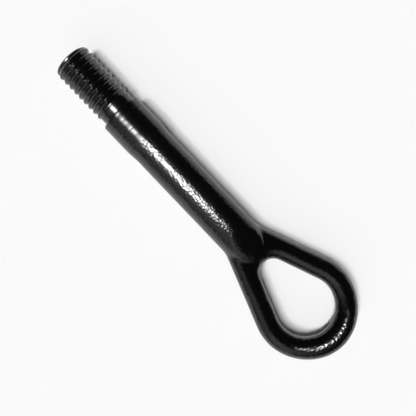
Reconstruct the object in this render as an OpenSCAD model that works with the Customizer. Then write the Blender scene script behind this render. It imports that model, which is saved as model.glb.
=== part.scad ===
// Screw-in towing eye, forged from one steel bar and turned at the thread end.
// The axis of the shank is X and the eye lies in the XY plane, +Z up.
// The origin is on the axis at the face of the shoulder; the thread points to +X, the eye to -X.

/* [Thread end] */
// Diameter over the thread's crests
thread_d = 18; // [17:0.25:19.5]
// Length from the shoulder to the tip
spigot_l = 32.6; // [24:0.2:44]
// Diameter of the plain neck behind the thread
neck_d = 16.5; // [12:0.1:16.8]
// Length of the plain neck
neck_l = 3.9; // [1.5:0.1:8]
// Radius of the rounded nose
nose_r = 2.4; // [0.8:0.1:5]

/* [Turned collar] */
// Diameter of the turned collar
collar_d = 20.1; // [19.8:0.1:28]
// Length of the turned collar
collar_l = 15.8; // [6:0.2:30]
// Length of the slope from the collar down to the forged shank
collar_slope_l = 3.5; // [1:0.1:10]
// Edge break round the shoulder
shoulder_break = 0.4; // [0.1:0.05:1]

/* [Shank] */
// Diameter of the forged shank
shank_d = 19.3; // [16:0.1:19.7]
// Distance from the shoulder to the point where the centre lines of the legs meet
fork_x = 66; // [50:0.5:78]
// Number of steps in the shank's rounded end, which runs down to the crotch
rundown_steps = 9; // [4:1:16]
// Distance that the rounded end stays clear of the opening's edge at the crotch
rundown_clear = 1.2; // [0.6:0.1:3]

/* [Eye] */
// Diameter of the round bar that makes the eye
bar_d = 10.1; // [9.6:0.1:14]
// Distance from the shoulder to the centre of the eye's round end
eye_x = 118.7; // [108:0.5:150]
// Width of the opening at its round end
opening_w = 26.9; // [20:0.1:36]
// Radius of the opening at its narrow end, by the shank
crotch_r = 6.2; // [4:0.1:9]
// Width of the bar at the eye's far end, where it is forged out a little
end_bar_w = 11; // [9:0.1:16]
// Half of the angle over which the bar widens towards the far end
end_bar_span = 60; // [40:5:85]
// Width of the flat left along the bar's crown by the dies
crown_flat = 0.5; // [0.2:0.1:2]
// Number of facets round each edge of the bar
edge_steps = 14; // [8:2:18]
// Number of steps round the eye's round end
ring_steps = 32; // [20:2:40]
// Number of steps from each leg to the middle of the crotch
crotch_steps = 9; // [5:1:12]
// Distance from the fork point at which the web ends inside the shank
web_root_l = 8; // [6:0.5:10]

/* [Hidden] */
$fn = 96;

thread_r = thread_d / 2;
neck_r = neck_d / 2;
collar_r = collar_d / 2;
shank_r = shank_d / 2;
bar_r = bar_d / 2;
edge_r = bar_r - crown_flat / 2;

// the chamfer that leads from the neck up to the thread is at 45 degrees
neck_chamfer = thread_r - neck_r;

// centre-line radii of the eye's round end and of its narrow end
ring_r = opening_w / 2 + bar_r;
crotch_ring_r = crotch_r + bar_r;

// each leg runs from the fork point and is tangent to both centre-line circles
leg_angle = asin(ring_r / (eye_x - fork_x));
crotch_x = fork_x + crotch_ring_r / sin(leg_angle);
web_l = crotch_ring_r / tan(leg_angle);

// Unit vector at an angle in the plane of the eye, with local +X towards the eye's round end
function dir(a) = [cos(a), sin(a)];

// Growth of the bar's outer half at an angle from the eye's far end
function end_growth(a) =
  abs(a) < end_bar_span ? (end_bar_w - bar_d) * (1 + cos(180 * a / end_bar_span)) / 2 : 0;

// Stations round the eye: centre of the inner edge, its normal into the opening,
// centre of the outer edge, its outward normal, and the growth of the outer half.
// Both edges are one round bar on the ring.
ring_sweep = 180 + 2 * leg_angle;
ring_stations = [
  for (i = [0:ring_steps])
    let (
      a = ring_sweep * (i / ring_steps - 1 / 2),
      c = [eye_x, 0] + ring_r * dir(a)
    )
      [c, -dir(a), c, dir(a), end_growth(a)]
];

// Round the crotch the inner edge turns on its own circle, while the outer edge runs on
// along the legs until it is buried in the shank, so a web fills the fork.
crotch_sweep = 180 - 2 * leg_angle;
function web_edge(side, l) = [fork_x, 0] + l * dir(side * leg_angle);
crotch_stations = [
  for (i = [0:2 * crotch_steps])
    let (
      t = i / crotch_steps - 1,
      side = -sign(t),
      a = 180 + t * crotch_sweep / 2,
      c = [crotch_x, 0] + crotch_ring_r * dir(a),
      l = web_root_l + (web_l - web_root_l) * abs(t)
    )
      side == 0
        ? [c, -dir(a), [fork_x + web_root_l, 0], [-1, 0], 0]
        : [c, -dir(a), web_edge(side, l), dir(side * (90 + leg_angle)), 0]
];

// the legs' outer sides leave the shank's sides here, where the shank starts to run down
rundown_x = fork_x + (shank_r - bar_r / cos(leg_angle)) / tan(leg_angle);
rundown_end_x = crotch_x - crotch_r - rundown_clear;

// the turned and forged outline, as [radius, distance from the shoulder towards the eye]
nose_pts = [for (a = [0:15:90]) [thread_r - nose_r * (1 - sin(a)), nose_r * (1 - cos(a)) - spigot_l]];
// a quarter of an ellipse from the shank's side to its axis
rundown_pts = [
  for (i = [0:rundown_steps - 1])
    let (a = 90 * i / rundown_steps)
      [shank_r * cos(a), rundown_x + (rundown_end_x - rundown_x) * sin(a)]
];
outline = concat(
  [[0, rundown_end_x], [0, -spigot_l]],
  nose_pts,
  [
    [thread_r, -neck_l - neck_chamfer],
    [neck_r, -neck_l],
    [neck_r, 0],
    [collar_r - shoulder_break, 0],
    [collar_r, shoulder_break],
    [collar_r, collar_l],
    [shank_r, collar_l + collar_slope_l]
  ],
  rundown_pts
);

// Thread blank, neck, collar and shank: one revolved outline
module spindle() {
  rotate([0, -90, 0])
    rotate_extrude()
      polygon(outline);
}

// Ring of points round the bar at one station: the inner edge upwards, then the outer edge downwards
function section(st) = concat(
  [for (j = [0:edge_steps])
    let (a = -90 + 180 * j / edge_steps, p = st[0] + st[1] * (crown_flat / 2 + edge_r * cos(a)))
      [p[0], p[1], bar_r * sin(a)]],
  [for (j = [0:edge_steps])
    let (
      a = 90 - 180 * j / edge_steps,
      p = st[2] + st[3] * (crown_flat / 2 + (edge_r + st[4]) * cos(a))
    )
      [p[0], p[1], bar_r * sin(a)]]
);

// Closed teardrop loop with its web in the fork, lofted through all stations
module eye_loop() {
  stations = concat(ring_stations, crotch_stations);
  n = len(stations);
  m = 2 * (edge_steps + 1);
  points = [for (st = stations) each section(st)];
  faces = [
    for (i = [0:n - 1])
      for (j = [0:m - 1])
        let (
          k = (i + 1) % n,
          l = (j + 1) % m
        )
          each [[i * m + j, k * m + j, k * m + l], [i * m + j, k * m + l, i * m + l]]
  ];
  polyhedron(points, faces);
}

// The whole forging in one piece
module tow_eye() {
  color([0.10, 0.10, 0.11])
    union() {
      spindle();
      rotate([0, 0, 180]) eye_loop();
    }
}

tow_eye();
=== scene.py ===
"""Screw-in tow eye of forged, turned and black-coated steel.

It lies on a white table and is seen from straight above.
"""

import math

import bmesh
import bpy
import numpy as np
from mathutils import Matrix, Vector, noise


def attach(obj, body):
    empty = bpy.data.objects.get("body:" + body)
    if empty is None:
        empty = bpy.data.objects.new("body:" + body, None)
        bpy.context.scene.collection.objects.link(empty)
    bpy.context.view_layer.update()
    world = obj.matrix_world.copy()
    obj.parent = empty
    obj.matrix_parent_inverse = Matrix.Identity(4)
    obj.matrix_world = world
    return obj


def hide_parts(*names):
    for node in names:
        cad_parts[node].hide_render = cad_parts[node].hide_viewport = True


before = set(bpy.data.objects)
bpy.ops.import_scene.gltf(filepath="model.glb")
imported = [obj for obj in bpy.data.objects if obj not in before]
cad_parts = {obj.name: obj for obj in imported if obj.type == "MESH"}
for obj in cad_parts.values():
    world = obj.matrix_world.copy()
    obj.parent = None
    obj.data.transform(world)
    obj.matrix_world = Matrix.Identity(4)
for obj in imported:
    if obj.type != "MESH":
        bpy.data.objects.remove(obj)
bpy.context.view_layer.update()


# How it lies.
# The turned collar and the far end of the shank touch the table; the eye stands clear of it.
# The round shank has rolled a little, so that one side of the eye is nearer to the table.
MM = 0.001
COLLAR_R = 10.05
COLLAR_END = 15.8
SHANK_R = 9.65
SHANK_END = 77.3
LEAN = (COLLAR_R - SHANK_R) / (SHANK_END - COLLAR_END)
ROLL = math.radians(3.5)
table_up = Vector((LEAN, math.sin(ROLL), math.cos(ROLL))).normalized()
along = (Vector((1, 0, 0)) - table_up * table_up.x).normalized()
across = table_up.cross(along)
table_drop = (COLLAR_R * (1 - LEAN**2) ** 0.5 + COLLAR_END * LEAN) * MM


# Camera: straight above the table, at the distance and turn measured from the photograph.
# The tip of the thread is at the upper left of the picture and the eye at the lower right.
PICTURE = 416
MM_PER_PIXEL = 0.4444
TIP_MM = 32.6
TIP_PIXEL = Vector((70.7, 59.9))
EYE_PIXEL = Vector((342.5, 345.1))
CAMERA_UP_MM = 278
NEAREST_MM = 10
SENSOR_MM = 36


def placed(name, data):
    """New object in the scene."""
    thing = bpy.data.objects.new(name, data)
    bpy.context.collection.objects.link(thing)
    return thing


run = (TIP_PIXEL - EYE_PIXEL).normalized()
right = run.x * along + run.y * across
up = -run.y * along + run.x * across
to_centre = (Vector((PICTURE / 2, PICTURE / 2)) - TIP_PIXEL) * MM_PER_PIXEL
aim = along * TIP_MM + right * to_centre.x - up * to_centre.y
camera_data = bpy.data.cameras.new("camera")
camera_data.sensor_fit = "HORIZONTAL"
camera_data.sensor_width = SENSOR_MM
camera_data.lens = SENSOR_MM * CAMERA_UP_MM / (PICTURE * MM_PER_PIXEL)
camera_data.clip_start = NEAREST_MM * MM
camera = placed("camera", camera_data)
turn = Matrix((right, up, table_up)).transposed()
camera.matrix_world = Matrix.Translation((aim + table_up * CAMERA_UP_MM) * MM) @ turn.to_4x4()
bpy.context.scene.camera = camera
bpy.context.scene.view_settings.view_transform = "Standard"


# Table: a white sheet of paper, wide enough to fill the picture from low views too.
# It is matt, so it shows the part's soft shadow and nothing else.
TABLE_HALF = 4.0


def colour(code):
    """Linear RGBA of an sRGB hex code."""
    parts = [int(code[i : i + 2], 16) / 255 for i in (1, 3, 5)]
    return [c / 12.92 if c <= 0.04045 else ((c + 0.055) / 1.055) ** 2.4 for c in parts] + [1.0]


def empty_tree(owner):
    """Node tree of a material or world, with no nodes in it yet."""
    owner.use_nodes = True
    owner.node_tree.nodes.clear()
    return owner.node_tree


def add_node(tree, kind, inputs=None, links=None, **settings):
    """New node with its settings, socket values and incoming links."""
    node = tree.nodes.new(kind)
    for name, value in settings.items():
        setattr(node, name, value)
    for socket, value in (inputs or {}).items():
        node.inputs[socket].default_value = value
    for socket, source in (links or {}).items():
        tree.links.new(source, node.inputs[socket])
    return node


paper = bpy.data.materials.new("white_matt_paper")
paper_tree = empty_tree(paper)
paper_skin = add_node(
    paper_tree, "ShaderNodeBsdfDiffuse", {"Color": colour("#fcfcfc"), "Roughness": 0.0}
)
add_node(paper_tree, "ShaderNodeOutputMaterial", links={"Surface": paper_skin.outputs[0]})
table_mesh = bpy.data.meshes.new("table")
corners = [
    (along * a + across * b) * TABLE_HALF - table_up * table_drop
    for a, b in ((-1, -1), (1, -1), (1, 1), (-1, 1))
]
table_mesh.from_pydata(corners, [], [(0, 1, 2, 3)])
table_mesh.materials.append(paper)
table = placed("table", table_mesh)


# Light: a soft ceiling light for the table and the soft shadow, a bright tube close above the
# shank, a small lamp over the far end of the eye, and two weak panels on the near side.
# The room behind is dark, so the far side of the coating stays black.
CEILING_WIDTH = 8
CEILING_RADIANCE = 61
SPOT_FADE = 0.4
ROOM = 0.015
HORIZON = 0.05


def towards(tilt, sideways):
    """Direction that leans from the table's normal, towards the near side or the thread's tip."""
    lean, turned = math.radians(tilt), math.radians(sideways)
    side = across * math.cos(turned) + along * math.sin(turned)
    return table_up * math.cos(lean) + side * math.sin(lean)


def soft_lamp(name, kind, source):
    """Lamp of one kind that shines from the side of its source direction."""
    lamp = placed(name, bpy.data.lights.new(name, kind))
    lamp.rotation_mode = "QUATERNION"
    lamp.rotation_quaternion = source.to_track_quat("Z", "Y")
    lamp.visible_camera = False
    return lamp


def far_panel(name, tilt, sideways, width, radiance):
    """Distant lamp that is seen as a disc of the given width in degrees and radiance."""
    lamp = soft_lamp(name, "SUN", towards(tilt, sideways))
    lamp.data.angle = math.radians(width)
    lamp.data.energy = radiance * math.pi * math.sin(lamp.data.angle / 2) ** 2
    return lamp


def near_lamp(name, tilt, sideways, width, radiance, over, away, reach):
    """Lamp close above a point on the part, which only the part around that point mirrors.

    Its beam is width degrees wide, and it hangs away mm from the point with a radius of reach mm.
    """
    source = towards(tilt, sideways)
    lamp = soft_lamp(name, "SPOT", source)
    lamp.location = (over + source * away) * MM
    lamp.data.shadow_soft_size = reach * MM
    lamp.data.use_soft_falloff = False
    lamp.data.spot_size = math.radians(width)
    lamp.data.spot_blend = SPOT_FADE
    lamp.data.energy = radiance * (2 * math.pi * reach * MM) ** 2
    lamp.visible_diffuse = False
    return lamp


# Three discs in a row stand for the long ceiling light, which only the table shows.
for name, tilt, sideways in (("steep", 8.1, 47.5), ("middle", 14.2, 24.5), ("low", 21.2, 15.7)):
    disc = far_panel(f"ceiling_{name}", tilt, sideways, CEILING_WIDTH, CEILING_RADIANCE)
    disc.visible_glossy = False
far_panel("panel", tilt=48, sideways=-12, width=60, radiance=0.42)
far_panel("wide_panel", tilt=50, sideways=-42, width=52, radiance=0.3)
near_lamp(
    "tube", tilt=19, sideways=14, width=24, radiance=42, over=along * -4, away=100, reach=62
)
over_eye = along * -137 + across * 3.4
near_lamp(
    "eye_lamp", tilt=12.5, sideways=-94, width=14, radiance=54, over=over_eye, away=60, reach=12
)

# The camera sees a white backdrop, and so do reflections that leave close to the horizon.
# All else sees the dark room. The backdrop's white is the one that the lit table has.
world = bpy.data.worlds.new("studio")
bpy.context.scene.world = world
sky = empty_tree(world)
ray = add_node(sky, "ShaderNodeLightPath")
direction = add_node(sky, "ShaderNodeTexCoord")
height = add_node(sky, "ShaderNodeSeparateXYZ", links={0: direction.outputs["Generated"]})
near_horizon = add_node(
    sky,
    "ShaderNodeMapRange",
    {"From Min": 0.0, "From Max": HORIZON, "To Min": 1.0, "To Max": 0.0},
    {"Value": height.outputs["Z"]},
)
shiny = add_node(
    sky,
    "ShaderNodeMath",
    links={0: ray.outputs["Is Glossy Ray"], 1: ray.outputs["Is Transmission Ray"]},
    operation="MAXIMUM",
)
sweep = add_node(
    sky,
    "ShaderNodeMath",
    links={0: shiny.outputs[0], 1: near_horizon.outputs[0]},
    operation="MULTIPLY",
)
seen = add_node(
    sky,
    "ShaderNodeMath",
    links={0: ray.outputs["Is Camera Ray"], 1: sweep.outputs[0]},
    operation="MAXIMUM",
)
room = add_node(sky, "ShaderNodeBackground", {"Color": (1, 1, 1, 1), "Strength": ROOM})
white = add_node(sky, "ShaderNodeBackground", {"Color": colour("#fbfbfb"), "Strength": 1.0})
backdrop = add_node(
    sky, "ShaderNodeMixShader", links={0: seen.outputs[0], 1: room.outputs[0], 2: white.outputs[0]}
)
add_node(sky, "ShaderNodeOutputWorld", links={"Surface": backdrop.outputs[0]})


# Forged shank and eye: one hot-forged steel bar. The round shank runs down into a fork, where
# the dies have pressed its crown flatter, and the eye is a closed teardrop of round bar.
# The fork has soft fillets, and the forged skin is slightly uneven.

# All in mm; places along the part are counted from the shoulder towards the eye.
# The legs' centre lines meet at the fork, and the bar's outer half grows at the far end.
FORK = 66.0
EYE = 118.7
BAR_R = 5.05
OPENING_R = 13.45
CROTCH_OPENING_R = 6.2
END_GROWTH = 0.9
END_SPAN = math.radians(60)
FILLET = 0.8
RING_R = OPENING_R + BAR_R
CROTCH_R = CROTCH_OPENING_R + BAR_R
LEG_ANGLE = math.asin(RING_R / (EYE - FORK))
CROTCH = FORK + CROTCH_R / math.sin(LEG_ANGLE)

# The shank runs down from where the legs leave its sides, and stays clear of the opening.
RUNDOWN_CLEAR = 1.2
RUNDOWN = FORK + (SHANK_R - BAR_R / math.cos(LEG_ANGLE)) / math.tan(LEG_ANGLE)
RUNDOWN_L = CROTCH - CROTCH_OPENING_R - RUNDOWN_CLEAR - RUNDOWN

# The pressed crown falls at a slope. Its edges are rounded, more so further on.
FLAT_START = 72.5
FLAT_SLOPE = 0.24
FLAT_EDGE = 1.5
FLAT_EDGE_L = 4.0
LEAST_EDGE = 1e-3

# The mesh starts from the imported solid, cut off inside the turned end, remeshed in even quads
# and moved onto the smooth form that the distances below describe.
BODY_START = 17.0
SAME_POINT = 1e-4
VOXEL = 0.45
RELAX_ROUNDS = 6
RELAX_SHARE = 0.6
SETTLE_ROUNDS = 2
LAST_SETTLE_ROUNDS = 3
PROBE = 0.02
LEAST_SLOPE = 0.05
LONGEST_MOVE = 1.0
NOWHERE = 1e3
TINY = 1e-6

# Lengths and depths of the waves in the forged skin.
WAVES = ((9.0, 0.05), (3.2, 0.03))


def soft_min(a, b, width):
    """The lesser of two distances, with a rounding where they are within a width of each other."""
    share = np.clip(0.5 + 0.5 * (b - a) / width, 0, 1)
    return b * (1 - share) + a * share - width * share * (1 - share)


def shank_distance(p):
    """Distance of points from the round shank and its elliptic, flattened end in the fork."""
    u = -p[:, 0]
    beyond = np.maximum(u - RUNDOWN, 0)
    off_axis = np.hypot(p[:, 1], p[:, 2])
    size = np.hypot(beyond / RUNDOWN_L, off_axis / SHANK_R)
    steepness = np.maximum(np.hypot(beyond / RUNDOWN_L**2, off_axis / SHANK_R**2), TINY)
    bar = size * (size - 1) / steepness
    pressed = np.maximum(u - FLAT_START, 0)
    crown = (np.abs(p[:, 2]) - SHANK_R + FLAT_SLOPE * pressed) / math.hypot(1, FLAT_SLOPE)
    edge = FLAT_EDGE * np.clip(pressed / FLAT_EDGE_L, 0, 1) + LEAST_EDGE
    return np.maximum(-soft_min(-bar, -crown, edge), BODY_START - u)


def eye_distance(p):
    """Distance of points from the teardrop of round bar and the web in its fork."""
    u, v = -p[:, 0], np.abs(p[:, 1])
    cos, sin = math.cos(LEG_ANGLE), math.sin(LEG_ANGLE)
    along_leg = (u - FORK) * cos + v * sin
    off_leg = -(u - FORK) * sin + v * cos
    leg_end = (EYE - FORK) * cos
    on_leg = np.clip(along_leg, 0, leg_end)
    leg = np.hypot(along_leg - on_leg, off_leg)
    turned = np.clip(np.arctan2(v, u - EYE) / END_SPAN, 0, 1)
    outer_r = BAR_R + END_GROWTH * (1 + np.cos(np.pi * turned)) / 2
    off_ring = np.hypot(u - EYE, v) - RING_R
    off_ring = np.where(off_ring > 0, off_ring * BAR_R / outer_r, -off_ring)
    ring = np.where(along_leg > leg_end, off_ring, NOWHERE)
    web_end = CROTCH_R / math.tan(LEG_ANGLE)
    web = np.maximum(off_leg, CROTCH_R - np.hypot(u - CROTCH, v))
    web = np.where(along_leg < web_end, np.maximum(web, 0), NOWHERE)
    flat = np.minimum(np.minimum(leg, ring), web)
    return np.hypot(flat, p[:, 2]) - BAR_R


def forging_distance(p):
    """Distance of points from the shank and the eye, joined with a soft fillet."""
    return soft_min(shank_distance(p), eye_distance(p), FILLET)


def slope(p):
    """Direction and rate in which the distance from the forging grows at points."""
    sides = [forging_distance(p + PROBE * a) - forging_distance(p - PROBE * a) for a in np.eye(3)]
    return np.stack(sides, axis=1) / (2 * PROBE)


def settled(p, rounds):
    """Points moved onto the forging's surface."""
    for _ in range(rounds):
        steep = slope(p)
        move = forging_distance(p) / np.maximum((steep**2).sum(1), LEAST_SLOPE)
        p = p - steep * np.clip(move, -LONGEST_MOVE, LONGEST_MOVE)[:, None]
    return p


def relaxed(p, pairs, share):
    """Points moved part of the way to the mean of their neighbours."""
    total = np.zeros_like(p)
    count = np.zeros(len(p))
    for a, b in ((0, 1), (1, 0)):
        np.add.at(total, pairs[:, a], p[pairs[:, b]])
        np.add.at(count, pairs[:, a], 1)
    return p + share * (total / count[:, None] - p)


raw = bmesh.new()
raw.from_mesh(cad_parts["tow_eye"].data)
bmesh.ops.scale(raw, vec=(1 / MM,) * 3, verts=raw.verts)
bmesh.ops.remove_doubles(raw, verts=raw.verts, dist=SAME_POINT)
bmesh.ops.bisect_plane(
    raw,
    geom=raw.verts[:] + raw.edges[:] + raw.faces[:],
    plane_co=(-BODY_START, 0, 0),
    plane_no=(1, 0, 0),
    clear_outer=True,
)
bmesh.ops.holes_fill(raw, edges=[e for e in raw.edges if e.is_boundary], sides=0)
rough_mesh = bpy.data.meshes.new("rough_forging")
raw.to_mesh(rough_mesh)
raw.free()
rough = placed("rough_forging", rough_mesh)
remesh = rough.modifiers.new("even_quads", "REMESH")
remesh.mode = "VOXEL"
remesh.voxel_size = VOXEL
depsgraph = bpy.context.evaluated_depsgraph_get()
even = bpy.data.meshes.new_from_object(rough.evaluated_get(depsgraph))
bpy.data.objects.remove(rough)

skin = np.empty(len(even.vertices) * 3)
even.vertices.foreach_get("co", skin)
skin = skin.reshape(-1, 3)
pairs = np.empty(len(even.edges) * 2, dtype=np.int64)
even.edges.foreach_get("vertices", pairs)
pairs = pairs.reshape(-1, 2)
for _ in range(RELAX_ROUNDS):
    skin = relaxed(skin, pairs, RELAX_SHARE)
    skin = settled(skin, SETTLE_ROUNDS)
skin = settled(skin, LAST_SETTLE_ROUNDS)
body_faces = [tuple(face.vertices) for face in even.polygons]

# The unevenness stays on the inner side of the nominal surface.
outward = slope(skin)
outward /= np.linalg.norm(outward, axis=1)[:, None]
for wave, depth in WAVES:
    dip = np.array([noise.noise(Vector(q) / wave) for q in skin])
    skin = skin - outward * (depth * (1 + np.clip(dip, -1, 1)))[:, None]


# Turned end: the same bar, turned to a collar and a neck, with a rounded nose and a rolled
# right-hand V thread of slightly rounded crests and roots. A long soft slope leads from the
# collar down to the forged shank.

# Collar's side, in mm from the shoulder towards the eye. The slope ends a little below the
# shank's surface, and the mesh is tucked into the shank from there.
BREAK = 0.4
SLOPE_START = 13.8
SLOPE_END = 22.6
SLOPE_SINK = 0.16
TUCK = 0.6
TUCK_L = 1.2

# Thread's side, in mm from the shoulder towards the tip. The thread fades in behind the nose,
# and runs out into the neck.
NECK_R = 8.25
THREAD_R = 9.0
NOSE_R = 2.4
PITCH = 3.0
THREAD_DEPTH = 1.0
CREST_SHARPNESS = 0.99
CREST_TURN = -0.25
LEAD_START = 31.7
LEAD_L = 1.6
RUN_OUT_START = 1.6
RUN_OUT_L = 3.4
THREAD_END = 4.6

# The turned end's mesh is made of rings of points round the axis.
ROUND = 96
COLLAR_RINGS = 80
THREAD_RINGS = 320
SHARP_EDGE = math.radians(35)


def smooth(t):
    """Ease from 0 to 1."""
    t = min(max(t, 0.0), 1.0)
    return t * t * (3 - 2 * t)


def collar_radius(u):
    """Radius of the collar, its broken edge and its slope at a distance from the shoulder."""
    broken = max(BREAK - u, 0.0)
    drop = COLLAR_R - SHANK_R + SLOPE_SINK
    return COLLAR_R - broken - drop * smooth((u - SLOPE_START) / (SLOPE_END - SLOPE_START))


def thread_radius(x, angle):
    """Radius of the neck, thread and nose at a distance from the shoulder and an angle."""
    in_nose = max(x - (TIP_MM - NOSE_R), 0.0)
    limit = THREAD_R - NOSE_R + math.sqrt(max(NOSE_R**2 - in_nose**2, 0.0))
    turns_along = x / PITCH - angle / (2 * math.pi) + CREST_TURN
    wave = CREST_SHARPNESS * math.cos(2 * math.pi * turns_along)
    groove = math.asin(wave) / math.asin(CREST_SHARPNESS)
    plain = THREAD_R - THREAD_DEPTH / 2
    threaded = plain - THREAD_DEPTH / 2 * groove * smooth((LEAD_START - x) / LEAD_L)
    run_out = smooth((x - RUN_OUT_START) / RUN_OUT_L)
    above_neck = (threaded - NECK_R) * run_out
    if x < THREAD_END:
        above_neck = max(above_neck, 0.0) * run_out
    return min(NECK_R + above_neck, limit)


rings = [(-SLOPE_END - TUCK_L, [SHANK_R - TUCK] * ROUND)]
for x in np.linspace(-SLOPE_END, -BREAK, COLLAR_RINGS):
    rings.append((float(x), [collar_radius(-float(x))] * ROUND))
rings.append((0.0, [collar_radius(0.0)] * ROUND))
rings.append((0.0, [NECK_R] * ROUND))
turns = np.linspace(0, 2 * math.pi, ROUND, endpoint=False)
for x in np.linspace(0.0, TIP_MM, THREAD_RINGS)[1:]:
    rings.append((float(x), [thread_radius(float(x), a) for a in turns]))
points = []
for x, radii in rings:
    points += [(x, r * math.cos(a), r * math.sin(a)) for r, a in zip(radii, turns)]
turned_faces = []
for i in range(len(rings) - 1):
    for j in range(ROUND):
        k = (j + 1) % ROUND
        turned_faces.append(
            (i * ROUND + j, i * ROUND + k, (i + 1) * ROUND + k, (i + 1) * ROUND + j)
        )
first, last = len(points), len(points) + 1
points += [(rings[0][0], 0, 0), (rings[-1][0], 0, 0)]
top = (len(rings) - 1) * ROUND
for j in range(ROUND):
    k = (j + 1) % ROUND
    turned_faces.append((first, k, j))
    turned_faces.append((last, top + j, top + k))

shift = len(skin)
verts = [tuple(float(c) * MM for c in q) for q in skin]
verts += [tuple(c * MM for c in q) for q in points]
faces = body_faces + [tuple(i + shift for i in f) for f in turned_faces]
forging_mesh = bpy.data.meshes.new("forging")
forging_mesh.from_pydata(verts, [], faces)
forging_mesh.validate()
forging_mesh.polygons.foreach_set("use_smooth", [True] * len(forging_mesh.polygons))
forging = placed("forging", forging_mesh)
clean = bmesh.new()
clean.from_mesh(forging_mesh)
bmesh.ops.recalc_face_normals(clean, faces=clean.faces)
for edge in clean.edges:
    if len(edge.link_faces) == 2 and edge.calc_face_angle(0) > SHARP_EDGE:
        edge.smooth = False
clean.to_mesh(forging_mesh)
clean.free()


# Black coating: a glossy baked paint over scaled and turned steel.
# It is nearly black, mirrors the lamps as bright stripes, and lets the grain of the forged
# skin and the lathe's marks on the collar show in them.

# Forging scale has a grain of a few tenths of a millimetre, and lathe marks lie 0.1 to 0.2 mm
# apart. Both are finer than a pixel, so they are drawn coarser, as wide as they need to show.
GRAIN_MM = 1.0
MARK_MM = 2 / 3
MARKS_STRETCH = 50
MARKS_TO_GRAIN = 4.4
BUMP_MM = 0.1
GRAIN_START = COLLAR_END - 1
GRAIN_FULL = COLLAR_END + 2

coat = bpy.data.materials.new("black_coated_steel")
coat_tree = empty_tree(coat)
place = add_node(coat_tree, "ShaderNodeTexCoord")
millimetres = add_node(
    coat_tree,
    "ShaderNodeVectorMath",
    {1: (1 / MM, 1 / MM, 1 / MM)},
    {0: place.outputs["Object"]},
    operation="MULTIPLY",
)
grain = add_node(
    coat_tree,
    "ShaderNodeTexVoronoi",
    {"Scale": 1 / GRAIN_MM},
    {"Vector": millimetres.outputs[0]},
)
round_collar = add_node(
    coat_tree,
    "ShaderNodeVectorMath",
    {1: (1.0, 1 / MARKS_STRETCH, 1 / MARKS_STRETCH)},
    {0: millimetres.outputs[0]},
    operation="MULTIPLY",
)
tool_marks = add_node(
    coat_tree,
    "ShaderNodeTexNoise",
    {"Scale": 1 / MARK_MM, "Detail": 1.0, "Roughness": 0.6},
    {"Vector": round_collar.outputs[0]},
)
place_along = add_node(coat_tree, "ShaderNodeSeparateXYZ", links={0: millimetres.outputs[0]})
mark_depth = add_node(
    coat_tree,
    "ShaderNodeMapRange",
    {"From Min": 0.0, "From Max": -BREAK, "To Min": 0.0, "To Max": MARKS_TO_GRAIN},
    {"Value": place_along.outputs["X"]},
)
collar_marks = add_node(
    coat_tree,
    "ShaderNodeMath",
    links={0: tool_marks.outputs["Fac"], 1: mark_depth.outputs[0]},
    operation="MULTIPLY",
)
forged = add_node(
    coat_tree,
    "ShaderNodeMapRange",
    {"From Min": -GRAIN_START, "From Max": -GRAIN_FULL, "To Min": 0.0, "To Max": 1.0},
    {"Value": place_along.outputs["X"]},
)
skin_height = add_node(
    coat_tree,
    "ShaderNodeMix",
    links={0: forged.outputs[0], 2: collar_marks.outputs[0], 3: grain.outputs["Distance"]},
    data_type="FLOAT",
)
bump = add_node(
    coat_tree,
    "ShaderNodeBump",
    {"Strength": 1.0, "Distance": BUMP_MM * MM},
    {"Height": skin_height.outputs[0]},
)
paint = add_node(
    coat_tree,
    "ShaderNodeBsdfPrincipled",
    {"Base Color": colour("#060607"), "Roughness": 0.2, "IOR": 1.6},
    {"Normal": bump.outputs[0]},
)
add_node(coat_tree, "ShaderNodeOutputMaterial", links={"Surface": paint.outputs[0]})
forging_mesh.materials.append(coat)

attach(forging, "root")
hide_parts("tow_eye")
